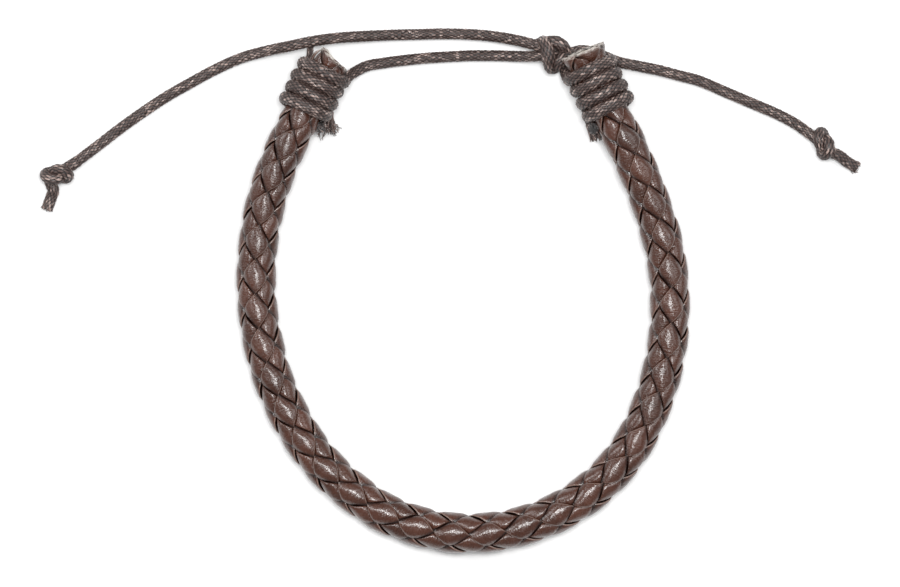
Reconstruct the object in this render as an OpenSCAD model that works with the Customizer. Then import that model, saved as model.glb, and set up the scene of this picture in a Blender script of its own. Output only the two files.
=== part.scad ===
// Round braided bracelet with corded ends and a sliding knot closure.
// Millimetres, +Z up. The bracelet lies flat with its closure towards +Y.
// The origin is under the middle of the leather loop, on the surface it lies on.

/* [Braid] */
// Outer diameter of the braid
braid_d = 5.8; // [5.6:0.1:6.0]
// Thickness of one leather strand
strand_t = 0.35; // [0.25:0.05:0.35]
// How far a strand rises and dips from the middle layer at each crossing
weave_rise = 0.27; // [0.26:0.01:0.28]
// Width of a strand as a share of the room that the braid leaves for it
strand_fill = 0.62; // [0.5:0.02:0.66]
// Diameter of the soft core that the strands close over
core_d = 3.6; // [3.0:0.1:3.6]
// Spacing of the crossings along the right half
pitch_right = 2.63; // [2.5:0.01:2.7]
// Spacing of the crossings along the left half
pitch_left = 2.6; // [2.5:0.01:2.7]
// Gap between the two halves at the foot of the loop, where the braid bends
bend_gap = 1.2; // [1:0.1:1.6]

/* [Cord] */
// Diameter of the waxed cord
cord_d = 1.7; // [1.5:0.05:1.75]
// Turns of cord bound round each end of the braid
binding_turns = 4; // [3:1:4]
// Spacing of the turns on the left end
left_turn_pitch = 1.9; // [1.8:0.05:2]
// Spacing of the turns on the right end
right_turn_pitch = 2; // [1.8:0.05:2.1]
// Length over the two lobes of an end knot
end_knot_l = 5; // [4.5:0.1:5.4]
// Thickness of an end knot
end_knot_d = 3.2; // [3:0.1:3.4]

/* [Height above the surface] */
// Height of the right end's axis, which leaves room for the cord below it
right_end_z = 4.8; // [4.8:0.1:5.2]
// Height of the left end's axis, where the binding rests on the surface
left_end_z = 4.3; // [4.3:0.1:4.6]

/* [Hidden] */

leather = [0.27, 0.17, 0.13];
core_tan = [0.55, 0.42, 0.33];
waxed = [0.33, 0.28, 0.27];

// Each half of the loop is a chain of arcs walked up from its foot: [length, turn in degrees]
foot = [0.9, -35.5];
right_bends = [[16, 31], [16, 33], [16, 22], [16, 22], [14, 9], [14, -4]];
left_bends = [[15, 31], [15, 26], [15, 20], [15, 19], [15, 19], [16, 4]];

// Crossings from the foot to each cut end
levels = 35;
// The crossings bunch towards the ends by this many crossings at most
bunching = 0.4;
// Half the length of a level stretch of strand over or under a crossing, in crossings
flat_half = 0.38;
strand_half = strand_fill / 2;
mid_r = braid_d / 2 - weave_rise - strand_t / 2;

// The binding squeezes the braid, and the cut end flares again
squeeze_by = 0.12;
flare_by = 0.15;
binding_r = braid_d / 2 * (1 - squeeze_by) + 0.05 + cord_d / 2;
right_first_turn = 88.5;
left_first_turn = -88.1;

// Routes of the free cords, from where each leaves the closure
upper_bridge_route = [[10.8, 37.8, 2.3], [8, 38.5, 1.7], [4.5, 39.1, 1.2], [1, 39.4, 1],
    [-3, 39.5, 0.9], [-7, 39.4, 0.9], [-11, 39.3, 1.1], [-15, 39.1, 1.6], [-19, 38.8, 2.4],
    [-22.6, 38.3, 2.8]];
left_tail_route = [[-23.1, 38.2, 2.8], [-26, 37.6, 2.5], [-29.5, 36.9, 1.7], [-33.5, 35.8, 1.1],
    [-37.5, 34, 0.9], [-41, 32.1, 0.9], [-44.5, 30.1, 0.9], [-48, 27.8, 0.9],
    [-51.5, 25.3, 0.9], [-55, 22.5, 1], [-58.3, 19.7, 1.4]];
lower_bridge_route = [[-17.6, 32.9, 3.4], [-17, 33.3, 2.5], [-16.1, 33.9, 1.7],
    [-14.6, 34.6, 1.1], [-12, 35.1, 0.9], [-9, 35.5, 0.9], [-6, 35.8, 0.9], [-3, 36, 0.9],
    [1, 36.2, 0.9], [5, 36.2, 0.9], [8, 36.1, 1], [10.6, 36, 1.2]];
right_tail_route = [[16, 36.6, 0.9], [18, 37, 0.9], [20.5, 36.4, 0.9], [23.2, 35.3, 0.9],
    [26.5, 34.6, 0.9], [29.5, 34, 0.9], [32.5, 33.2, 0.9], [35.5, 32.4, 0.9],
    [39.5, 30.7, 0.9], [43.5, 29, 0.9], [47, 27.5, 1], [50, 25.9, 1.2], [52.4, 24.4, 1.4]];
lead_route = [[14.6, 34.2, 2], [14.9, 33.3, 2.8], [15.1, 32.4, 3.8]];
stub_route = [[-23.9, 35.3, 2.6], [-23.5, 36.6, 1.3], [-23.2, 38.2, 0.9]];
right_binding_tail_route = [[18.8, 27.4, 1.9], [19.2, 25.5, 1.2], [20, 23, 1]];
left_binding_tail_route = [[-20.9, 27.2, 1.8], [-20.7, 25.8, 1.2], [-21.4, 24.3, 1]];
right_end_tail_route = [[55.7, 21.3, 1.3], [57.4, 20.3, 1], [59.2, 19.3, 0.9]];
left_end_tail_route = [[-61.6, 16.7, 1.3], [-62, 15, 1], [-62.1, 13, 0.9]];

// Lobes of each knot: [x, y, z, radius]
sliding_knot_lobes = [[12.5, 37.2, 1.7, 1.5], [12.6, 35, 1.7, 1.5], [14.5, 37.4, 1.7, 1.2],
    [14.2, 34.9, 1.6, 1.2]];
lobe_shift = (end_knot_l - end_knot_d) / 2;
right_knot_at = [54.2, 22.9];
right_knot_turn = -62;
left_knot_at = [-60.8, 18.3];
left_knot_turn = 20;

// 0 before from, 1 after to, and smooth between them
function ease(x, from, to) =
    let (t = min(max((x - from) / (to - from), 0), 1)) t * t * (3 - 2 * t);

// A place [x, y, heading] moved s along an arc of the given [length, turn]
function along_arc(p, bend, s) =
    let (turn = bend[1] / bend[0] * s,
         chord = abs(turn) < 0.001 ? s : s * sin(turn / 2) / (turn / 2 * PI / 180))
    [p[0] + chord * cos(p[2] + turn / 2), p[1] + chord * sin(p[2] + turn / 2), p[2] + turn];

function walk(bends, s, p = [0, 0, 0], i = 0) =
    i == len(bends) ? along_arc(p, [1, 0], s)
    : s <= bends[i][0] ? along_arc(p, bends[i], s)
    : walk(bends, s - bends[i][0], along_arc(p, bends[i], bends[i][0]), i + 1);

// Height of the braid's axis, which lifts towards the bound ends
function axis_z(s) =
    let (top = s > 0 ? right_end_z : left_end_z)
    braid_d / 2 + (top - braid_d / 2) * ease(abs(s), 62, 80);

// The braid's axis at s from the foot, negative on the left: [x, y, z, heading]
function axis_at(s) =
    let (w = walk(s < 0 ? left_bends : right_bends, abs(s)), side = s < 0 ? -1 : 1)
    [foot[0] + side * w[0], foot[1] + w[1], axis_z(s), side * w[2]];

// A point off the axis: phi is 0 at the top and 90 on the outside of the loop
function braid_point(s, r, phi) =
    let (p = axis_at(s))
    [p[0] + r * sin(phi) * sin(p[3]), p[1] - r * sin(phi) * cos(p[3]), p[2] + r * cos(phi)];

// Distance from the foot of a level of crossings, negative on the left
function level_s(level) =
    (level < 0 ? pitch_left : pitch_right) * (level + bunching * sin(180 * level / levels));

function squeeze(s) =
    1 - squeeze_by * ease(abs(s), 79, 82) + flare_by * ease(abs(s), 89, 91.5);

// The rows of cells turn slowly towards the outside, most near the right end
function roll(s) = 4 + 12 * ease(s, 40, 90);

// A point on strand i: u crossings along it, x across it, and lift off the middle layer.
// way is 1 for the four strands that wind one way and -1 for the four that wind back.
function strand_point(way, i, u, x, lift) =
    let (s = level_s(u - way * x))
    braid_point(s, (mid_r + lift) * squeeze(s), 45 * (2 * i + x + way * u + 1) + roll(s));

// Six points round a strand. A flat end is cut square across the braid.
function strand_ring(way, i, u, over, flat_end = false) =
    [for (q = [[-1, 1], [0, 1], [1, 1], [1, -1], [0, -1], [-1, -1]])
        let (x = q[0] * strand_half)
        strand_point(way, i, flat_end ? u + way * x : u, x,
            over * weave_rise + q[1] * strand_t / 2)];

// A ring of n points of radius r round c, in the plane of u and v
function ring(c, u, v, r, n) =
    [for (i = [0:n - 1]) c + r * cos(360 * i / n) * u + r * sin(360 * i / n) * v];

function unit(v) = v / norm(v);

// A closed solid through a list of rings of points. The quads are split along one
// diagonal in the first half of each ring and along the other in the second half,
// and lean swaps the two.
module skin(rings, inside_out = false, lean = false) {
    n = len(rings[0]);
    m = len(rings);
    faces = concat(
        [[for (k = [0:n - 1]) k]],
        [[for (k = [n - 1:-1:0]) (m - 1) * n + k]],
        [for (j = [0:m - 2], k = [0:n - 1])
            let (a = j * n + k, b = j * n + (k + 1) % n, c = b + n, d = a + n)
            each (k < n / 2) == lean ? [[a, d, b], [b, d, c]] : [[a, d, c], [a, c, b]]]);
    polyhedron(
        points = [for (r = rings) each r],
        faces = inside_out ? [for (f = faces) [for (k = [len(f) - 1:-1:0]) f[k]]] : faces);
}

// A tube through the points of a route, which is never upright
module cord(route, d = cord_d) {
    last = len(route) - 1;
    color(waxed)
    skin([for (i = [0:last])
        let (along = unit(route[min(i + 1, last)] - route[max(i - 1, 0)]),
             across = unit(cross(along, [0, 0, 1])))
        ring(route[i], cross(across, along), across, d / 2, 8)]);
}

// Half a strand, from the bend at the foot to the cut end
module strand(number, side) {
    way = number <= 4 ? 1 : -1;
    i = (number - 1) % 4;
    color(leather)
    skin(concat(
        [for (j = [1:levels - 1], e = [-flat_half, flat_half])
            strand_ring(way, i, side * (j + e), way * (j % 2 == 1 ? 1 : -1))],
        [strand_ring(way, i, side * (levels - flat_half), way * (levels % 2 == 1 ? 1 : -1)),
         strand_ring(way, i, side * levels, way * (levels % 2 == 1 ? 1 : -1), true)]),
        side < 0, side > 0);
}

// Half the core that the strands are braided over
module core(side) {
    start = bend_gap / 2;
    color(core_tan)
    skin([for (j = [0:levels])
        let (s = j == 0 ? side * start : level_s(side * j), p = axis_at(s))
        ring([p[0], p[1], p[2]], [0, 0, 1], [sin(p[3]), -cos(p[3]), 0],
            core_d / 2 * squeeze(s), 12)], side < 0);
}

// Cord bound round an end of the braid, starting and ending on the inside of the loop
module binding(first_turn, pitch) {
    steps = 14;
    color(waxed)
    skin([for (j = [0:steps * binding_turns])
        let (phi = 360 * j / steps - 90,
             s = first_turn + pitch * phi / 360,
             p = axis_at(s))
        ring(braid_point(s, binding_r, phi),
            [cos(p[3]), sin(p[3]), 0],
            [sin(phi) * sin(p[3]), -sin(phi) * cos(p[3]), cos(phi)], cord_d / 2, 8)]);
}

// A knot drawn tight, as its lobes
module lobes(places) {
    color(waxed)
    union() for (p = places) translate([p[0], p[1], p[2]]) sphere(r = p[3], $fn = 12);
}

// An overhand knot at the end of a cord
module end_knot(at, turn) {
    lobes([for (side = [-1, 1])
        [at[0] + side * lobe_shift * cos(turn), at[1] + side * lobe_shift * sin(turn),
         end_knot_d / 2, end_knot_d / 2]]);
}

core(1);  // core_right
core(-1);  // core_left
strand(1, 1);  // strand_1_right
strand(2, 1);  // strand_2_right
strand(3, 1);  // strand_3_right
strand(4, 1);  // strand_4_right
strand(5, 1);  // strand_5_right
strand(6, 1);  // strand_6_right
strand(7, 1);  // strand_7_right
strand(8, 1);  // strand_8_right
strand(1, -1);  // strand_1_left
strand(2, -1);  // strand_2_left
strand(3, -1);  // strand_3_left
strand(4, -1);  // strand_4_left
strand(5, -1);  // strand_5_left
strand(6, -1);  // strand_6_left
strand(7, -1);  // strand_7_left
strand(8, -1);  // strand_8_left
binding(right_first_turn, -right_turn_pitch);  // right_binding
cord(right_binding_tail_route);  // right_binding_tail
binding(left_first_turn, left_turn_pitch);  // left_binding
cord(left_binding_tail_route);  // left_binding_tail
cord(stub_route);  // left_start_stub
lobes(sliding_knot_lobes);  // sliding_knot
cord(lead_route);  // knot_lead
cord(upper_bridge_route);  // upper_bridge_cord
cord(lower_bridge_route);  // lower_bridge_cord
cord(right_tail_route);  // right_tail_cord
end_knot(right_knot_at, right_knot_turn);  // right_end_knot
cord(right_end_tail_route);  // right_end_tail
cord(left_tail_route);  // left_tail_cord
end_knot(left_knot_at, left_knot_turn);  // left_end_knot
cord(left_end_tail_route);  // left_end_tail
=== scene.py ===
"""The looks of a braided leather bracelet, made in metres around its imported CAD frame.

Eight leather strands are swept along the whole loop, woven over and under each other. The two waxed
cords are tubes with their own fine plait, along the same routes as their CAD solids. Their end knots
are drawn tight here by a small relaxation.
"""
import math

import bpy
import numpy as np
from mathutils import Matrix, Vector


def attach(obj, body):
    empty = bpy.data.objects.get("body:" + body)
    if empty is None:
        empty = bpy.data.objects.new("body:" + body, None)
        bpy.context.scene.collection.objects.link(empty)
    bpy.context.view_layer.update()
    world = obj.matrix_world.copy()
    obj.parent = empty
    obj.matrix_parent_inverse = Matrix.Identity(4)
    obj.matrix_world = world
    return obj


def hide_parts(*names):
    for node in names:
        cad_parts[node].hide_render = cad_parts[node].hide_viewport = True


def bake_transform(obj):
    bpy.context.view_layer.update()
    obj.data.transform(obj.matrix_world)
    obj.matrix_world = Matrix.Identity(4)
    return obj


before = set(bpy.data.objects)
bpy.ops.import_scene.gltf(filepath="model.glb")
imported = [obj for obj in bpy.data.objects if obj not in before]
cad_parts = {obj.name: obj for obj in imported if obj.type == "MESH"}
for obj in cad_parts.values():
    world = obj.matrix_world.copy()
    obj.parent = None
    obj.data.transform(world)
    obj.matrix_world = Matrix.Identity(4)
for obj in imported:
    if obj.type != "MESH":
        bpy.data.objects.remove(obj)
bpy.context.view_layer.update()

MM = 0.001

# ---------------------------------------------------------------- the braid's own measures

FOOT = (0.9 * MM, -35.5 * MM)
RIGHT_BENDS = [(16, 31), (16, 33), (16, 22), (16, 22), (14, 9), (14, -4)]
LEFT_BENDS = [(15, 31), (15, 26), (15, 20), (15, 19), (15, 19), (16, 4)]
BRAID_D = 5.8 * MM
# Distance along the braid from one crossing to the next, before the crossings bunch towards the ends
PITCH_RIGHT = 2.63 * MM
PITCH_LEFT = 2.6 * MM
# Height of the axis inside the bindings, which lift the braid off the floor
RIGHT_END_Z = 4.8 * MM
LEFT_END_Z = 4.3 * MM
# Crossings from the foot to each cut end, and by how many of them they bunch at most
LEVELS = 35
BUNCHING = 0.4
# Shares of the braid's radius that the binding takes away and the cut ends gain
SQUEEZE_BY = 0.12
RIGHT_FLARE_BY = 0.30
LEFT_FLARE_BY = 0.15
STRANDS_EACH_WAY = 4

# One leather strand: its thickness, and how far it rises over and dips under
STRAND_T = 0.5 * MM
STRAND_RISE = 0.50 * MM
# The worn leather bulges a little past the braid's nominal round
BULGE = 0.12 * MM
# Half its width in crossings. The strands that wind back are narrower and lie deeper.
STRAND_HALF = {1: 0.545, -1: 0.44}
DEEPER = 0.18
STRAND_MID_R = BRAID_D / 2 + BULGE - STRAND_RISE - STRAND_T / 2
# Length of strand from one crossing to the next, and width of a strand between its edges
CROSSING_L = 3.16 * MM
STRAND_W = 2.9 * MM

# ---------------------------------------------------------------- the cord's own measures

CORD_D = 1.7 * MM
BINDING_TURNS = 4
BINDING_GAP = 0.05 * MM
BINDING_R = BRAID_D / 2 * (1 - SQUEEZE_BY) + BINDING_GAP + CORD_D / 2
RIGHT_FIRST_TURN = 88.5 * MM
RIGHT_TURN_PITCH = -2.0 * MM
LEFT_FIRST_TURN = -88.1 * MM
LEFT_TURN_PITCH = 1.9 * MM
# The cord's own plait: yarns each way round it, its length along the cord, and its depth
CORD_CARRIERS = 10
CORD_PITCH = 1.05 * MM
CORD_RELIEF = 0.16 * MM


def ease(x, start, end):
    """0 before start, 1 after end, and smooth between them."""
    t = np.clip((x - start) / (end - start), 0, 1)
    return t * t * (3 - 2 * t)


def walk(bends, s):
    """x, y and heading at the distances s along a chain of arcs, each (length in mm, turn in degrees)."""
    x, y, heading = np.zeros_like(s), np.zeros_like(s), np.zeros_like(s)
    begin, px, py, start = 0.0, 0.0, 0.0, 0.0
    for length, turn in [*bends, (1, 0)]:
        length = length * MM
        bend = math.radians(turn) / length
        local = np.maximum(s - begin, 0)
        half = bend * local / 2
        chord = local * np.sinc(half / math.pi)
        here = s >= begin
        x = np.where(here, px + chord * np.cos(start + half), x)
        y = np.where(here, py + chord * np.sin(start + half), y)
        heading = np.where(here, start + 2 * half, heading)
        half = bend * length / 2
        chord = length * np.sinc(half / math.pi)
        px, py = px + chord * math.cos(start + half), py + chord * math.sin(start + half)
        begin, start = begin + length, start + 2 * half
    return x, y, heading


def axis_at(s):
    """The braid's axis at s from the foot, negative on the left: points and headings."""
    s = np.asarray(s, float)
    right, left = walk(RIGHT_BENDS, np.maximum(s, 0)), walk(LEFT_BENDS, np.maximum(-s, 0))
    on_right = s >= 0
    top = np.where(on_right, RIGHT_END_Z, LEFT_END_Z)
    x = FOOT[0] + np.where(on_right, right[0], -left[0])
    y = FOOT[1] + np.where(on_right, right[1], left[1])
    low = BRAID_D / 2 + BULGE
    z = low + (top - low) * ease(np.abs(s), 62 * MM, 80 * MM)
    return np.stack([x, y, z], -1), np.where(on_right, right[2], -left[2])


def braid_point(s, r, phi):
    """Points off the axis: phi is 0 at the top and a right angle on the outside of the loop."""
    centre, heading = axis_at(s)
    out = np.stack([np.sin(phi) * np.sin(heading), -np.sin(phi) * np.cos(heading), np.cos(phi)], -1)
    return centre + r[..., None] * out


def level_s(level):
    """How far along the braid a crossing lies, counted from the foot."""
    pitch = np.where(level < 0, PITCH_LEFT, PITCH_RIGHT)
    return pitch * (level + BUNCHING * np.sin(np.pi * level / LEVELS))


def squeeze(s):
    """The binding squeezes the braid, and the cut end flares again."""
    far = np.abs(s)
    flare = np.where(s < 0, LEFT_FLARE_BY, RIGHT_FLARE_BY)
    return 1 - SQUEEZE_BY * ease(far, 79 * MM, 82 * MM) + flare * ease(far, 88 * MM, 91.5 * MM)


def roll(s):
    """The whole weave turns slowly about its axis towards the ends."""
    return np.radians(4 + 12 * ease(s, 40 * MM, 90 * MM))


# How far the scissors' cut lies beyond the square end, round each end from the inside of the loop
CUT_ANGLES = [-180, -90, 0, 37, 90, 180]
RIGHT_CUT = [0.0, -0.3, -0.7, -0.6, -0.35, 0.0]
LEFT_CUT = [-1.3, -0.95, -0.3, 0.5, -1.65, -1.3]


def cut(level, phi):
    """How far the scissors moved each end along the braid, fading out before the end's last crossings."""
    turned = (np.degrees(phi) + 180) % 360 - 180
    right = np.interp(turned, CUT_ANGLES, RIGHT_CUT)
    left = np.interp(turned, CUT_ANGLES, LEFT_CUT)
    near = ease(np.abs(level), LEVELS - 1.4, LEVELS)
    return MM * near * np.where(level < 0, -left, right)


# ---------------------------------------------------------------- meshes


def mesh_object(name, vertices, faces, materials, face_materials=None, uvs=None, **point_values):
    """A mesh object from arrays, smooth but for its end caps, with a float attribute for each
    of point_values."""
    me = bpy.data.meshes.new(name)
    me.from_pydata(vertices.tolist(), [], faces)
    me.polygons.foreach_set("use_smooth", [len(face) <= 4 for face in faces])
    for m in materials:
        me.materials.append(m)
    if face_materials is not None:
        me.polygons.foreach_set("material_index", np.asarray(face_materials, np.int32))
    if uvs is not None:
        loop_vertex = np.zeros(len(me.loops), np.int32)
        me.loops.foreach_get("vertex_index", loop_vertex)
        layer = me.uv_layers.new(name="surface_mm")
        layer.data.foreach_set("uv", uvs[loop_vertex].astype(np.float32).ravel())
    for key, values in point_values.items():
        attribute = me.attributes.new(key, "FLOAT", "POINT")
        attribute.data.foreach_set("value", np.asarray(values, np.float32).ravel())
    me.validate()
    me.update()
    ob = bpy.data.objects.new(name, me)
    bpy.context.scene.collection.objects.link(ob)
    return ob


def ring_faces(rings, n):
    """Quads between successive rings of n points."""
    j, k = np.meshgrid(np.arange(rings - 1), np.arange(n), indexing="ij")
    a = j * n + k
    b = j * n + (k + 1) % n
    return np.stack([a, b, b + n, a + n], -1).reshape(-1, 4).tolist()


def ring_caps(rings, n):
    return [list(range(n - 1, -1, -1)), list(range((rings - 1) * n, rings * n))]


def smooth_random(rng, count, size, per):
    """One value for each of count rings that wanders between a new random value every per rings."""
    knots = rng.normal(0, size, count // per + 3)
    at = np.arange(count) / per
    i = at.astype(int)
    t = ease(at - i, 0, 1)
    return knots[i] * (1 - t) + knots[i + 1] * t


# ---------------------------------------------------------------- materials


class Nodes:
    """A material's node tree, with short calls for the nodes used here."""

    def __init__(self, name):
        self.material = bpy.data.materials.new(name)
        self.material.use_nodes = True
        self.tree = self.material.node_tree
        self.shader = self.tree.nodes["Principled BSDF"]

    def add(self, kind, **settings):
        node = self.tree.nodes.new(kind)
        for key, value in settings.items():
            setattr(node, key, value)
        return node

    def link(self, out, into):
        self.tree.links.new(out, into)

    def value(self, socket, x):
        """Sets a socket to a number or colour, or links it to another node's output."""
        if isinstance(x, bpy.types.NodeSocket):
            self.link(x, socket)
        else:
            socket.default_value = x

    def uv(self, along=1.0, across=1.0):
        """The surface's own millimetres, stretched."""
        node = self.add("ShaderNodeUVMap", uv_map="surface_mm")
        scale = self.add("ShaderNodeVectorMath", operation="MULTIPLY")
        self.link(node.outputs["UV"], scale.inputs[0])
        scale.inputs[1].default_value = (along, across, 1)
        return scale.outputs[0]

    def noise(self, vector, scale, detail=3.0, roughness=0.55, distortion=0.0):
        node = self.add("ShaderNodeTexNoise")
        self.link(vector, node.inputs["Vector"])
        node.inputs["Scale"].default_value = scale
        node.inputs["Detail"].default_value = detail
        node.inputs["Roughness"].default_value = roughness
        node.inputs["Distortion"].default_value = distortion
        return node.outputs["Fac"]

    def attribute(self, name):
        return self.add("ShaderNodeAttribute", attribute_name=name).outputs["Fac"]

    def fit(self, x, low, high, to_low=0.0, to_high=1.0):
        node = self.add("ShaderNodeMapRange")
        self.value(node.inputs["Value"], x)
        ends = {"From Min": low, "From Max": high, "To Min": to_low, "To Max": to_high}
        for key, number in ends.items():
            node.inputs[key].default_value = number
        return node.outputs["Result"]

    def mix(self, share, a, b):
        node = self.add("ShaderNodeMix", data_type="RGBA")
        self.value(node.inputs["Factor"], share)
        self.value(node.inputs["A"], a)
        self.value(node.inputs["B"], b)
        return node.outputs["Result"]

    def maths(self, operation, a, b):
        node = self.add("ShaderNodeMath", operation=operation)
        self.value(node.inputs[0], a)
        self.value(node.inputs[1], b)
        return node.outputs["Value"]

    def bump(self, height, distance, strength=1.0, under=None):
        node = self.add("ShaderNodeBump")
        node.inputs["Strength"].default_value = strength
        node.inputs["Distance"].default_value = distance
        self.link(height, node.inputs["Height"])
        if under is not None:
            self.link(under, node.inputs["Normal"])
        return node.outputs["Normal"]


def rgb(r, g, b):
    return (r, g, b, 1.0)


def leather_material():
    n = Nodes("brown_leather")
    tone = n.attribute("tone")
    crest = n.attribute("crest")
    edge = n.attribute("edge")
    patches = n.noise(n.uv(), 0.45, 4)
    grain = n.noise(n.uv(1.0, 0.5), 4.6, 2, 0.6, 0.4)
    wrinkles = n.noise(n.uv(1.0, 0.5), 1.7, 2, 0.5, 1.0)
    shade = n.maths("ADD", n.maths("MULTIPLY", patches, 0.8), tone)
    brown = n.mix(n.fit(shade, 0.15, 0.75), rgb(0.038, 0.011, 0.005), rgb(0.083, 0.028, 0.016))
    worn = n.mix(n.fit(grain, 0.55, 0.8, 0.0, 0.4), brown, rgb(0.15, 0.075, 0.055))
    # Painted shade: near-black in the crevices where the strands dive under each other and below their
    # edges
    crevice_shade = n.mix(crest, rgb(0.010, 0.003, 0.002), worn)
    # Painted highlight: a pale rim along the raised edges of the strands that wind on, where they catch
    # the light
    painted_rim_highlight = n.maths("MULTIPLY", n.fit(edge, 0.90, 0.97, 0.0, 0.6), crest)
    rim = n.mix(painted_rim_highlight, crevice_shade, rgb(0.31, 0.21, 0.175))
    crumbs = n.maths("MULTIPLY", n.fit(grain, 0.4, 0.6), n.fit(n.attribute("cut_edge"), 0.1, 0.7))
    n.link(n.mix(crumbs, rim, rgb(0.50, 0.46, 0.42)), n.shader.inputs["Base Color"])
    n.link(n.fit(n.maths("ADD", grain, wrinkles), 0.6, 1.4, 0.22, 0.38), n.shader.inputs["Roughness"])
    fine = n.bump(grain, 0.14 * MM, 1.0)
    n.link(n.bump(wrinkles, 0.15 * MM, 0.8, fine), n.shader.inputs["Normal"])
    n.link(n.bump(grain, 0.045 * MM), n.shader.inputs["Coat Normal"])
    n.shader.inputs["Specular IOR Level"].default_value = 0.5
    n.shader.inputs["Coat Weight"].default_value = 0.5
    n.shader.inputs["Coat Roughness"].default_value = 0.12
    return n.material


def cut_leather_material():
    n = Nodes("cut_leather")
    fibres = n.noise(n.uv(1.0, 1.0), 5.0, 4, 0.7)
    n.link(n.mix(fibres, rgb(0.30, 0.26, 0.22), rgb(0.78, 0.74, 0.68)), n.shader.inputs["Base Color"])
    n.link(n.bump(fibres, 0.08 * MM), n.shader.inputs["Normal"])
    n.shader.inputs["Roughness"].default_value = 0.75
    return n.material


def core_material():
    n = Nodes("core_cord")
    fibres = n.noise(n.uv(0.4, 3.0), 2.0, 4, 0.6)
    n.link(n.mix(fibres, rgb(0.20, 0.16, 0.12), rgb(0.52, 0.45, 0.37)), n.shader.inputs["Base Color"])
    n.link(n.bump(fibres, 0.08 * MM), n.shader.inputs["Normal"])
    n.shader.inputs["Roughness"].default_value = 0.85
    return n.material


def waxed_cord_material():
    n = Nodes("waxed_cord")
    crest = n.attribute("crest")
    yarn = n.noise(n.uv(1.0, 1.0), 4.5, 3, 0.6, 0.4)
    patches = n.noise(n.uv(0.5, 0.8), 1.2, 2)
    waxed = n.maths("MULTIPLY", n.attribute("waxed"), n.fit(patches, 0.3, 0.65, 0.5, 1.2))
    wax = n.maths("ADD", waxed, n.maths("MULTIPLY", yarn, 0.5))
    body = n.mix(n.fit(yarn, 0.3, 0.7), rgb(0.036, 0.019, 0.015), rgb(0.115, 0.074, 0.065))
    # Partly real pale wax, partly a painted glint: lighter yarn crossings, chosen at random per crossing
    pale_wax_and_glint = n.mix(n.fit(wax, 0.72, 1.25, 0.0, 0.85), body, rgb(0.43, 0.32, 0.285))
    # Painted shade: near-black in the plait's crevices between the yarns
    crevice_shade = n.mix(n.fit(crest, 0.25, 0.85), rgb(0.004, 0.002, 0.002), pale_wax_and_glint)
    n.link(crevice_shade, n.shader.inputs["Base Color"])
    n.link(n.fit(wax, 0.4, 1.2, 0.5, 0.18), n.shader.inputs["Roughness"])
    n.link(n.bump(yarn, 0.12 * MM, 1.0), n.shader.inputs["Normal"])
    n.shader.inputs["Specular IOR Level"].default_value = 0.5
    return n.material


LEATHER = leather_material()
CUT_LEATHER = cut_leather_material()
CORE = core_material()
WAXED = waxed_cord_material()

# ---------------------------------------------------------------- the braid

STEPS_PER_LEVEL = 18
SECTION_POINTS = 20


def strand(number):
    """One strand of the braid from end to end. The first four wind one way and the others wind back."""
    way = 1 if number <= STRANDS_EACH_WAY else -1
    place = (number - 1) % STRANDS_EACH_WAY
    rng = np.random.default_rng(number)
    rings = 2 * LEVELS * STEPS_PER_LEVEL + 1
    level = np.linspace(-LEVELS, LEVELS, rings)[:, None]
    angle = 2 * np.pi * np.arange(SECTION_POINTS)[None, :] / SECTION_POINTS

    wander = smooth_random(rng, rings, 0.012, STEPS_PER_LEVEL)[:, None]
    # A strand is widest where it lies over the others
    on_top = 0.5 - 0.5 * way * np.cos(np.pi * level)
    half = STRAND_HALF[way] * (0.88 + 0.12 * on_top)
    half = half * (1 + smooth_random(rng, rings, 0.02, STEPS_PER_LEVEL)[:, None])
    across = half * np.sign(np.cos(angle)) * np.abs(np.cos(angle)) ** 0.7
    skin = STRAND_T / 2 * np.sign(np.sin(angle)) * np.abs(np.sin(angle)) ** 0.7

    slant = ease(LEVELS - np.abs(level), 0, 1.2)
    along = level - way * across * slant
    phi = np.pi / 4 * (2 * place + 2 * across + way * along + 1) + 2 * wander
    over = np.clip(-way * np.cos(np.pi * (along + way * across)) + way * DEEPER, -1, 1)
    rise = np.sign(over) * np.abs(over) ** 0.7
    lift = STRAND_RISE * rise + skin
    lift = lift + smooth_random(rng, rings, 0.025 * MM, STEPS_PER_LEVEL)[:, None]

    s = level_s(along)
    phi = phi + roll(s)
    s = s + cut(level, phi)
    points = braid_point(s, (STRAND_MID_R + lift) * squeeze(s), phi)

    # Painted shade where a strand dives under another, and below its own edges
    dive = ease(over, 0.0, 0.55) if way > 0 else ease(over, -0.3, 0.15)
    crest = dive * ease(skin / STRAND_T, -0.25, 0.2)
    tone = smooth_random(rng, rings, 0.12, STEPS_PER_LEVEL)[:, None] + 0 * phi
    cut_edge = np.clip(1 - (LEVELS - np.abs(level)) / 0.25, 0, 1) + 0 * phi
    # The rims of the strands that wind on get a pale painted highlight, where their raised edges catch
    # the light
    edge = np.abs(across) / half * (1 if way > 0 else 0.93)
    uv_along = along * CROSSING_L / MM + 0 * phi
    uv_across = (across * STRAND_W + np.sign(skin) * STRAND_T) / MM + 7 * number + 0 * phi
    uvs = np.stack([uv_along, uv_across], -1).reshape(-1, 2)
    faces = ring_faces(rings, SECTION_POINTS) + ring_caps(rings, SECTION_POINTS)
    which = [0] * (len(faces) - 2) + [1, 1]
    ob = mesh_object(f"strand_{number}", points.reshape(-1, 3), faces, [LEATHER, CUT_LEATHER], which,
                     uvs, crest=crest, tone=tone, edge=edge, cut_edge=cut_edge)
    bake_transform(ob)
    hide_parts(f"strand_{number}_right", f"strand_{number}_left")
    return ob


CORE_R = 1.55 * MM
CORE_TWIST = 7 * MM


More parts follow.
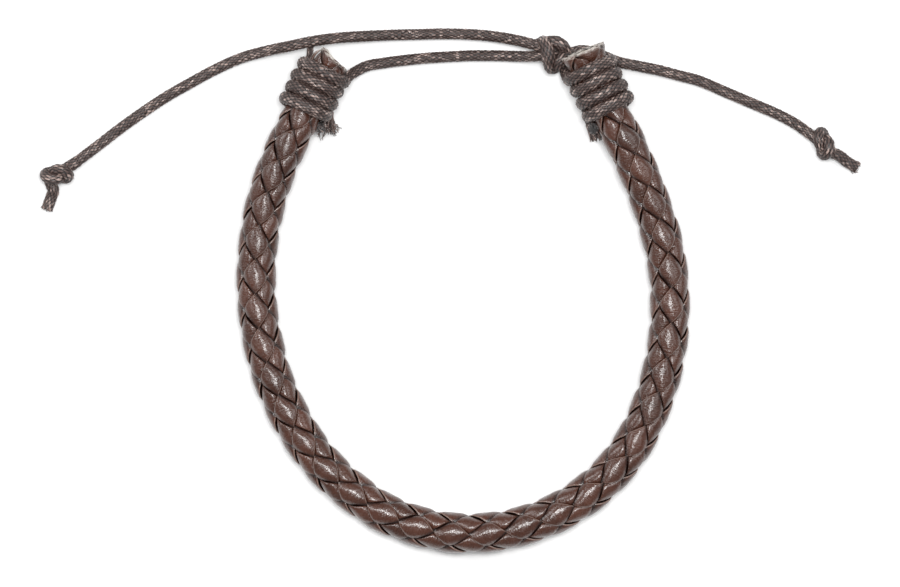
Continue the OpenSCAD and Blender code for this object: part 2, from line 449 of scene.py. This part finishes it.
def core():
    """The filler that the strands close over: three soft plies, twisted."""
    rings, n = 2 * LEVELS * 6 + 1, 24
    level = np.linspace(-LEVELS, LEVELS, rings)[:, None]
    phi = 2 * np.pi * np.arange(n)[None, :] / n
    s = level_s(level) + 0.4 * MM * (-np.sign(level)) * (np.abs(level) > LEVELS - 0.1)
    plies = 1 - 0.12 * np.abs(np.sin(1.5 * (phi - 2 * np.pi * s / CORE_TWIST)))
    s = s + 0 * phi + cut(level, phi)
    phi = phi + 0 * s
    points = braid_point(s, CORE_R * plies * squeeze(s), phi)
    uvs = np.stack([s / MM, phi * CORE_R / MM + 0 * s], -1).reshape(-1, 2)
    faces = ring_faces(rings, n) + ring_caps(rings, n)
    ob = mesh_object("braid_core", points.reshape(-1, 3), faces, [CORE], uvs=uvs)
    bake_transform(ob)
    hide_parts("core_right", "core_left")
    return ob


for number in range(1, 2 * STRANDS_EACH_WAY + 1):
    strand(number)
core()

# ---------------------------------------------------------------- cords

RING_STEP = 0.11 * MM
RING_POINTS = 50
YARN_R = 0.075 * MM
YARN_POINTS = 5
# Thickness in the knots and in the short start, as shares of the cord's
KNOT_SWELL = {"sliding": 1.2, "left": 1.08, "right": 1.05}
STUB_SHARE = 0.6

# The left cord: from the right binding it ties the sliding knot, then runs over the left end
LEAD_ROUTE = [[15.95, 32.5, 4.8], [15.9, 32.5, 3.9], [15.7, 32.9, 2.9], [15.4, 33.9, 2.0]]
SLIDING_KNOT_ROUTE = [[15.2, 35.0, 1.6], [15.3, 36.0, 2.2], [14.9, 35.8, 3.4], [14.2, 35.0, 3.4],
                      [13.6, 34.4, 2.6], [13.1, 34.4, 2.9], [12.9, 35.2, 3.8], [12.7, 36.4, 4.2],
                      [12.4, 37.5, 3.9], [12.1, 38.2, 2.9], [11.7, 37.8, 1.6], [11.9, 36.8, 1.05],
                      [13.0, 35.6, 1.05], [14.4, 35.5, 1.0], [15.2, 36.4, 2.1], [15.0, 37.4, 3.1],
                      [14.0, 38.1, 3.3], [12.8, 38.1, 2.9], [11.7, 37.8, 2.5]]
UPPER_BRIDGE_ROUTE = [[10.8, 37.8, 2.3], [8, 38.5, 1.7], [4.5, 39.1, 1.2], [1, 39.4, 1],
                      [-3, 39.5, 0.9], [-7, 39.4, 0.9], [-11, 39.3, 1.1], [-15, 39.1, 1.6],
                      [-19, 38.8, 2.4]]
OVER_LEFT_END = [-22.85, 38.25, 2.8]
LEFT_TAIL_ROUTE = [[-26, 37.6, 2.5], [-29.5, 36.9, 1.7], [-33.5, 35.8, 1.1], [-37.5, 34, 0.9],
                   [-41, 32.1, 0.9], [-44.5, 30.1, 0.9], [-48, 27.8, 0.9], [-51.5, 25.3, 0.9],
                   [-55, 22.6, 1], [-58, 20.3, 1.5]]
LEFT_END_TAIL_ROUTE = [[-61.6, 16.0, 1.3], [-61.9, 15, 1], [-62.6, 13.1, 0.9]]
# The right cord: from the left binding it goes through the sliding knot and on to the right
LOWER_BRIDGE_ROUTE = [[-17.9, 31.9, 4.3], [-17.7, 32.3, 3.5], [-17, 33.2, 2.5], [-14.6, 34.6, 1.1],
                      [-12, 35.1, 0.9], [-9, 35.5, 0.9], [-6, 35.8, 0.9], [-3, 36, 0.9],
                      [1, 36.2, 0.9], [5, 36.2, 0.9], [8, 36.1, 1], [10.6, 36.1, 1.6]]
INSIDE_SLIDING_KNOT = [13, 36.3, 2.1]
RIGHT_TAIL_ROUTE = [[14.8, 36.6, 1.5], [16, 36.6, 0.9], [18, 37, 0.9], [20.5, 36.4, 0.9],
                    [23.2, 35.3, 0.9], [26.5, 34.6, 0.9], [29.5, 34, 0.9], [32.5, 33.2, 0.9],
                    [35.5, 32.4, 0.9], [39.5, 30.7, 0.9], [43.5, 29, 0.9], [47, 27.5, 1],
                    [50, 25.9, 1.2]]
RIGHT_END_TAIL_ROUTE = [[56.6, 21.1, 1.3], [57.6, 20.3, 1], [59.2, 19.3, 0.9]]
STUB_ROUTE = [[-23.3, 34.9, 3.0], [-23.1, 36.2, 1.8], [-22.9, 38.3, 1.1]]
RIGHT_BINDING_TAIL_ROUTE = [[18.4, 28.2, 2.2], [18.8, 27.4, 1.9], [19.2, 25.7, 1.2], [19.9, 23.8, 1.0]]
LEFT_BINDING_TAIL_ROUTE = [[-20.3, 28.4, 2.2], [-20.3, 27.2, 1.8], [-20.4, 26.1, 1.3], [-20.5, 25.2, 1.1]]

# Where each end knot sits, and its turn from the x axis in degrees
RIGHT_KNOT_AT = [54.2, 22.8, 2.2]
RIGHT_KNOT_TURN = -36
LEFT_KNOT_AT = [-60.8, 18.4, 2.2]
LEFT_KNOT_TURN = 42


def mm(points):
    return np.asarray(points, float) * MM


def distances(path):
    """How far along a path each of its points lies."""
    return np.concatenate([[0], np.cumsum(np.linalg.norm(np.diff(path, axis=0), axis=1))])


def evenly(path, step):
    """The same path with its points a step apart, as nearly as its length allows."""
    far = distances(path)
    count = max(int(round(far[-1] / step)), 2)
    at = np.linspace(0, far[-1], count + 1)
    return np.stack([np.interp(at, far, path[:, k]) for k in range(3)], -1)


def smooth_path(points, step=RING_STEP):
    """An even run of points along a Catmull-Rom curve through the given points, in metres."""
    p = np.asarray(points, float)
    p = np.vstack([2 * p[0] - p[1], p, 2 * p[-1] - p[-2]])
    t = np.linspace(0, 1, 24, endpoint=False)[:, None]
    parts = []
    for a, b, c, d in zip(p, p[1:], p[2:], p[3:]):
        bend = (2 * a - 5 * b + 4 * c - d) * t**2 + (3 * b - a - 3 * c + d) * t**3
        parts.append(b + 0.5 * ((c - a) * t + bend))
    return evenly(np.vstack([*parts, p[-2:-1]]), step)


def directions(path):
    along = np.gradient(path, axis=0)
    return along / np.linalg.norm(along, axis=1)[:, None]


def carried_frames(path):
    """Two unit normals at each point of a path, carried along it without twist."""
    along = directions(path)
    side = np.cross(along[0], (0, 0, 1) if abs(along[0][2]) < 0.9 else (1, 0, 0))
    sides = np.zeros_like(path)
    for i, t in enumerate(along):
        side = side - t * (side @ t)
        side = side / np.linalg.norm(side)
        sides[i] = side
    return sides, np.cross(along, sides)


def drawn_tight(path, gap, rounds=500):
    """A knotted path pulled until its turns touch: each point moves to the middle of its
    neighbours, and points of different turns nearer than the gap push apart."""
    for step in (0.6 * MM, 0.42 * MM):
        path = evenly(path, step)
        for i in range(rounds):
            path[1:-1] += 0.5 * ((path[:-2] + path[2:]) / 2 - path[1:-1])
            if i % 10 == 9 and i < rounds - 20:
                path = evenly(path, step)
            apart = path[:, None] - path[None]
            far = np.linalg.norm(apart, axis=2)
            index = np.arange(len(path))
            far[np.abs(index[:, None] - index[None]) * step < 1.8 * gap] = 1
            nearest = far.argmin(axis=1)
            near = far[index, nearest]
            push = np.where(near < gap, 0.5 * (gap - near) / near, 0)
            push[[0, -1]] = 0
            path = path + push[:, None] * apart[index, nearest]
    return path


def overhand_knot():
    """The middle of a tight overhand knot, from its right side to its left, centred on 0.
    It starts as a trefoil with its ends drawn out."""
    t = np.linspace(np.pi + 0.35, 3 * np.pi - 0.35, 80)
    x, y = np.sin(t) + 2 * np.sin(2 * t), -np.sin(3 * t)
    loop = np.stack([x, y, np.cos(t) - 2 * np.cos(2 * t) + 3], -1)
    before = [[8, 0, 0], [3, 0.2, -0.9], [0.8, 0.6, -0.7]]
    after = [[-0.8, -0.6, -0.7], [-3, -0.2, -0.9], [-8, 0, 0]]
    path = drawn_tight(smooth_path(0.75 * MM * np.vstack([before, loop, after])), 0.68 * CORD_D)
    inside = np.flatnonzero(np.abs(path[:, 0]) < 1.9 * MM)
    path = path[inside[0]:inside[-1] + 1]
    return path - (path.max(axis=0) + path.min(axis=0)) / 2


def turned(path, degrees, centre):
    c, s = math.cos(math.radians(degrees)), math.sin(math.radians(degrees))
    return path @ np.array([[c, s, 0], [-s, c, 0], [0, 0, 1]]) + centre


def plait(far, around):
    """Height of the cord's plait and its share of pale wax and painted glint, each 0 to 1, at a distance
    along it and an angle round it.
    """
    uneven = 0.16 * (np.sin(far / (0.9 * MM) + 2 * around) + np.sin(far / (2.3 * MM) - around))
    p = CORD_CARRIERS * around / (2 * np.pi) + far / CORD_PITCH + uneven
    q = CORD_CARRIERS * around / (2 * np.pi) - far / CORD_PITCH + uneven
    over = (np.floor(p) + np.floor(q)) % 2 == 0
    p_off, q_off = p - np.floor(p) - 0.5, q - np.floor(q) - 0.5
    cross_way, long_way = np.where(over, p_off, q_off), np.where(over, q_off, p_off)
    height = np.cos(np.pi * cross_way) * (0.45 + 0.55 * np.cos(np.pi * long_way) ** 0.7)
    # Each crossing of the yarns has taken up its own amount of wax, and the same share sets a painted
    # glint on it
    waxed = np.sin(12.9898 * (np.floor(p) % CORD_CARRIERS) + 78.233 * np.floor(q)) * 43758.5
    return height, waxed - np.floor(waxed)


class Cord:
    """One long cord's centreline with its frames, so that its pieces' plait runs on unbroken."""

    def __init__(self, path, outward=None, wide=1.0, thick=1.0):
        """Where the cord is bound round something, outward points away from that."""
        self.path = path
        self.side, self.up = carried_frames(path)
        if outward is not None:
            side = np.cross(directions(path), outward)
            self.side = side / np.linalg.norm(side, axis=1)[:, None]
            self.up = np.cross(self.side, directions(path))
        self.far = distances(path)
        self.wide, self.thick = wide, thick

    def nearest(self, point):
        return int(np.linalg.norm(self.path - mm(point), axis=1).argmin())

    def tube(self, begin, end, d=CORD_D):
        """Points, faces, uvs, heights and shares of wax and painted glint of the plaited tube from one
        place to another.
        """
        part = slice(begin, end + 1)
        far = self.far[part, None]
        around = 2 * np.pi * np.arange(RING_POINTS)[None, :] / RING_POINTS
        height, waxed = plait(far, around)
        r = (d / 2 - CORD_RELIEF * (1 - height))[..., None]
        sideways = self.wide * np.cos(around)[..., None] * self.side[part, None]
        upward = self.thick * np.sin(around)[..., None] * self.up[part, None]
        points = self.path[part, None] + r * (sideways + upward)
        uvs = np.stack([far / MM + 0 * around, around * CORD_D / 2 / MM + 0 * far], -1)
        faces = ring_faces(len(far), RING_POINTS) + ring_caps(len(far), RING_POINTS)
        return points.reshape(-1, 3), faces, uvs.reshape(-1, 2), height.ravel(), waxed.ravel()

    def fibres(self, begin, end, count, seed, spread, longer, curl):
        """Loose yarns over the last stretch of a cord, that splay where it is cut."""
        rng = np.random.default_rng(seed)
        rings, corners = 12, YARN_POINTS
        t = np.linspace(0, 1, rings)[:, None]
        at = np.linspace(begin, end, rings).round().astype(int)
        angle = 2 * np.pi * np.arange(corners) / corners
        all_points, faces = [], []
        for k in range(count):
            out = CORD_D / 2 * math.sqrt(rng.uniform(0.05, 0.9))
            turn = rng.uniform(0, 2 * np.pi)
            normal = math.cos(turn) * self.side[at] + math.sin(turn) * self.up[at]
            past = directions(self.path)[at] * rng.uniform(-0.3, 1) * longer
            stray = rng.normal(0, curl, 3) + np.sin(7 * t + rng.uniform(0, 6)) * rng.normal(0, curl, 3)
            line = self.path[at] + out * normal * (1 + spread * t**2) + t**2 * (past + stray)
            line[:, 2] = np.maximum(line[:, 2], 0.1 * MM)
            side, up = carried_frames(line)
            ring = YARN_R * (1 - 0.4 * t[..., None])
            ring = ring * (side[:, None] * np.cos(angle)[:, None] + up[:, None] * np.sin(angle)[:, None])
            first = k * rings * corners
            new = ring_faces(rings, corners) + ring_caps(rings, corners)
            faces += [[first + i for i in face] for face in new]
            all_points.append((line[:, None] + ring).reshape(-1, 3))
        points = np.vstack(all_points)
        uvs = np.stack([points[:, 0] / MM, np.repeat(np.arange(count) * 1.7, rings * corners)], -1)
        waxed = np.repeat(rng.uniform(0, 1, count), rings * corners)
        return points, faces, uvs, 0.4 + 0.6 * waxed, waxed


def cord_object(name, *parts):
    """One mesh object in waxed cord from tubes and fibres."""
    faces, first = [], 0
    for points, part_faces, *_ in parts:
        faces += [[first + i for i in face] for face in part_faces]
        first += len(points)
    points, _, uvs, crest, waxed = zip(*parts)
    ob = mesh_object(name, np.vstack(points), faces, [WAXED], uvs=np.vstack(uvs),
                     crest=np.hstack(crest), waxed=np.hstack(waxed))
    return ob


def ridden(ob, body, *nodes):
    """Rides a piece of cord on one body and puts it in the place of its CAD solids."""
    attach(ob, body)
    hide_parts(*nodes)
    return ob


def free_cord(name, cord, begin, end):
    """A stretch of cord between two bodies, along its own path."""
    ob = cord_object(name, cord.tube(begin, end))
    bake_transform(ob)
    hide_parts(name + "_cord")
    return ob


def binding(name, node, body, first_turn, pitch, lean, seed):
    """Four turns of cord pressed side by side round an end of the braid. lean is how far each
    turn sits further along the braid at its outside, and back at its inside."""
    steps = int(2 * np.pi * BINDING_R * BINDING_TURNS / RING_STEP)
    rng = np.random.default_rng(seed)
    turn = np.linspace(-np.pi / 2, 2 * np.pi * BINDING_TURNS - np.pi / 2, steps)
    s = first_turn + pitch * turn / (2 * np.pi) + lean * np.sin(turn)
    s = s + smooth_random(rng, steps, 0.06 * MM, 25)
    r = BINDING_R + smooth_random(rng, steps, 0.05 * MM, 25)
    line = braid_point(s, r, turn)
    outward = line - axis_at(s)[0]
    cord = Cord(line, outward / np.linalg.norm(outward, axis=1)[:, None], wide=1.17, thick=0.98)
    return ridden(cord_object(name, cord.tube(0, steps - 1)), body, node)


def frayed_tail(name, node, body, route, whole, seed, spread, curl):
    """A cut end of binding cord. It is whole over a share of its length, then comes apart into yarns."""
    cord = Cord(smooth_path(mm(route)))
    last = len(cord.path) - 1
    parts = [cord.tube(0, int(whole * last), 0.95 * CORD_D),
             cord.fibres(int(0.6 * whole * last), last, 100, seed, spread, 0.3 * MM, curl)]
    return ridden(cord_object(name, *parts), body, node)


binding("right_end_binding", "right_binding", "right_side", RIGHT_FIRST_TURN, RIGHT_TURN_PITCH,
        lean=0.48 * MM, seed=31)
binding("left_end_binding", "left_binding", "left_side", LEFT_FIRST_TURN, LEFT_TURN_PITCH,
        lean=-0.27 * MM, seed=32)
frayed_tail("right_frayed_end", "right_binding_tail", "right_side", RIGHT_BINDING_TAIL_ROUTE,
            whole=0.94, seed=33, spread=0.15, curl=0.12 * MM)
frayed_tail("left_frayed_end", "left_binding_tail", "left_side", LEFT_BINDING_TAIL_ROUTE,
            whole=0.45, seed=34, spread=0.8, curl=0.5 * MM)
stub = Cord(smooth_path(mm(STUB_ROUTE)))
ridden(cord_object("start_stub", stub.tube(0, len(stub.path) - 1, STUB_SHARE * CORD_D)), "left_side",
       "left_start_stub")

knot = overhand_knot()
left_knot = turned(knot, LEFT_KNOT_TURN, mm(LEFT_KNOT_AT))
right_knot = turned(knot, RIGHT_KNOT_TURN, mm(RIGHT_KNOT_AT))[::-1]

left_cord = Cord(smooth_path(np.vstack([mm(LEAD_ROUTE), mm(SLIDING_KNOT_ROUTE), mm(UPPER_BRIDGE_ROUTE),
                                        mm([OVER_LEFT_END]), mm(LEFT_TAIL_ROUTE), left_knot,
                                        mm(LEFT_END_TAIL_ROUTE)])))
right_cord = Cord(smooth_path(np.vstack([mm(LOWER_BRIDGE_ROUTE), mm([INSIDE_SLIDING_KNOT]),
                                         mm(RIGHT_TAIL_ROUTE), right_knot, mm(RIGHT_END_TAIL_ROUTE)])))

knot_end = left_cord.nearest(UPPER_BRIDGE_ROUTE[0])
over_left = left_cord.nearest(OVER_LEFT_END)
left_tail_end = left_cord.nearest(LEFT_TAIL_ROUTE[-1])
left_last = len(left_cord.path) - 1
inside_knot = right_cord.nearest(INSIDE_SLIDING_KNOT)
right_tail_end = right_cord.nearest(right_knot[0] / MM)
right_last = len(right_cord.path) - 1

ridden(cord_object("sliding_knot_turns",
                   left_cord.tube(0, knot_end, KNOT_SWELL["sliding"] * CORD_D)),
       "right_side", "sliding_knot", "knot_lead")
ridden(cord_object("left_tail_knot",
                   left_cord.tube(left_tail_end, left_last, KNOT_SWELL["left"] * CORD_D),
                   left_cord.fibres(left_last - 10, left_last, 50, 35, 0.2, 0.15 * MM, 0.1 * MM)),
       "left_tail", "left_end_knot", "left_end_tail")
ridden(cord_object("right_tail_knot",
                   right_cord.tube(right_tail_end, right_last, KNOT_SWELL["right"] * CORD_D),
                   right_cord.fibres(right_last - 10, right_last, 50, 36, 0.2, 0.15 * MM, 0.1 * MM)),
       "right_tail", "right_end_knot", "right_end_tail")

free_cord("upper_bridge", left_cord, knot_end, over_left)
free_cord("lower_bridge", right_cord, 0, inside_knot)
free_cord("left_tail", left_cord, over_left, left_tail_end)
free_cord("right_tail", right_cord, inside_knot, right_tail_end)

# ---------------------------------------------------------------- floor, light and camera

VIEW_CENTRE = (-2.0 * MM, 0.45 * MM)
VIEW_WIDTH = 135 * MM
CAMERA_HEIGHT = 1.0
SENSOR_MM = 36
# The view is VIEW_WIDTH wide at this height, halfway up the braid
MID_HEIGHT = 3 * MM


def floor():
    bpy.ops.mesh.primitive_plane_add(size=3, location=(0, 0, 0))
    ob = bpy.context.object
    ob.name = "floor"
    n = Nodes("white_paper")
    n.shader.inputs["Base Color"].default_value = rgb(0.80, 0.80, 0.80)
    n.shader.inputs["Roughness"].default_value = 0.9
    n.shader.inputs["Specular IOR Level"].default_value = 0.1
    ob.data.materials.append(n.material)


def area_light(name, at, size, power, target=(0, 0, 0)):
    data = bpy.data.lights.new(name, "AREA")
    data.shape = "DISK"
    data.size = size
    data.energy = power
    ob = bpy.data.objects.new(name, data)
    ob.location = at
    ob.rotation_euler = (Vector(target) - Vector(at)).to_track_quat("-Z", "Y").to_euler()
    bpy.context.scene.collection.objects.link(ob)
    return ob


def camera():
    data = bpy.data.cameras.new("camera")
    data.sensor_width = SENSOR_MM
    data.lens = SENSOR_MM * (CAMERA_HEIGHT - MID_HEIGHT) / VIEW_WIDTH
    data.clip_start, data.clip_end = 0.01, 10
    ob = bpy.data.objects.new("camera", data)
    ob.location = (*VIEW_CENTRE, CAMERA_HEIGHT)
    bpy.context.scene.collection.objects.link(ob)
    bpy.context.scene.camera = ob


def surroundings():
    world = bpy.data.worlds.new("white_room")
    world.use_nodes = True
    background = world.node_tree.nodes["Background"]
    background.inputs["Color"].default_value = rgb(1.0, 1.0, 1.0)
    background.inputs["Strength"].default_value = 0.27
    bpy.context.scene.world = world
    bpy.context.scene.view_settings.view_transform = "Standard"


floor()
area_light("overhead", (0.03, 0.08, 0.95), 0.32, 8.5)
area_light("left_window", (-0.50, 0.25, 0.45), 0.30, 2.2)
area_light("right_window", (0.50, 0.20, 0.55), 0.40, 1.8)
camera()
surroundings()
